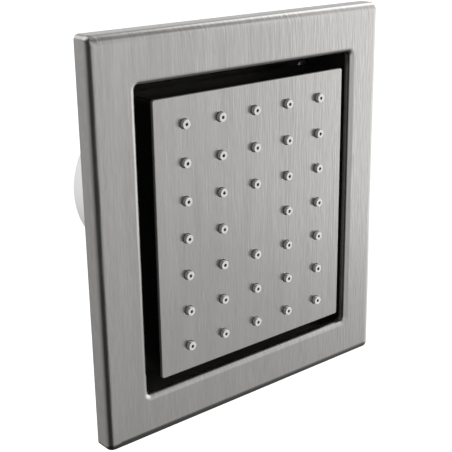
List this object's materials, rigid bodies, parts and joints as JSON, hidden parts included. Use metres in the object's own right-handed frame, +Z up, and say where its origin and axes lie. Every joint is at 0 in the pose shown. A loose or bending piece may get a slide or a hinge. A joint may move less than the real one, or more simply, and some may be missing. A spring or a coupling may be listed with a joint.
{
  "type": "shower body jet",
  "caption": "Recessed shower body jet: a brushed metal frame round a swivelling spray plate with soft nozzles, on a round in-wall body with a threaded water inlet.",
  "frame": {"origin": "on the axis of the spray head, in the plane of the finished wall, which the back of the trim lies in", "axes": "+X right seen from the front, +Y into the wall along the water inlet, +Z up"},
  "size_m": [0.127, 0.0856, 0.1396],
  "materials": {
    "brushed_metal": "brushed",
    "nozzle_silicone": "soft matt",
    "dark_plastic": "fine matt",
    "pale_plastic": "satin",
    "seat_plastic": "smooth",
    "regulator_plastic": "fine matt",
    "seal_rubber": "matt",
    "screw_steel": "bright",
    "inlet_brass": "machined"
  },
  "bodies": {
    "wall_set": {"trim_frame": "brushed_metal", "recess_box": "dark_plastic", "round_body": "pale_plastic", "flow_regulator": "regulator_plastic", "trim_grommets": "seal_rubber", "wall_seal": "seal_rubber", "body_gasket": "seal_rubber", "inlet_gasket": "seal_rubber", "stem_seal": "seal_rubber", "body_screws": "screw_steel", "strainer_screen": "screw_steel", "inlet_adapter": "inlet_brass", "inlet_lock_nut": "inlet_brass", "ball_stem": "inlet_brass"},
    "swivel_seat": {"ball_seat": "seat_plastic"},
    "spray_head": {"spray_face": "brushed_metal", "nozzle_mat": "nozzle_silicone", "nozzle_plate": "dark_plastic", "head_gasket": "seal_rubber", "head_housing": "dark_plastic", "head_screws": "screw_steel", "ball_seal": "seal_rubber", "collar_nut": "dark_plastic"}
  },
  "joints": [
    {"name": "head_pan", "type": "hinge", "parent": "wall_set", "child": "swivel_seat", "pos_m": [0, 0.0165, 0], "axis": [0, 0, 1], "range_deg": [-6, 6]},
    {"name": "head_tilt", "type": "hinge", "parent": "swivel_seat", "child": "spray_head", "pos_m": [0, 0.0165, 0], "axis": [1, 0, 0], "range_deg": [-6, 6]}
  ]
}
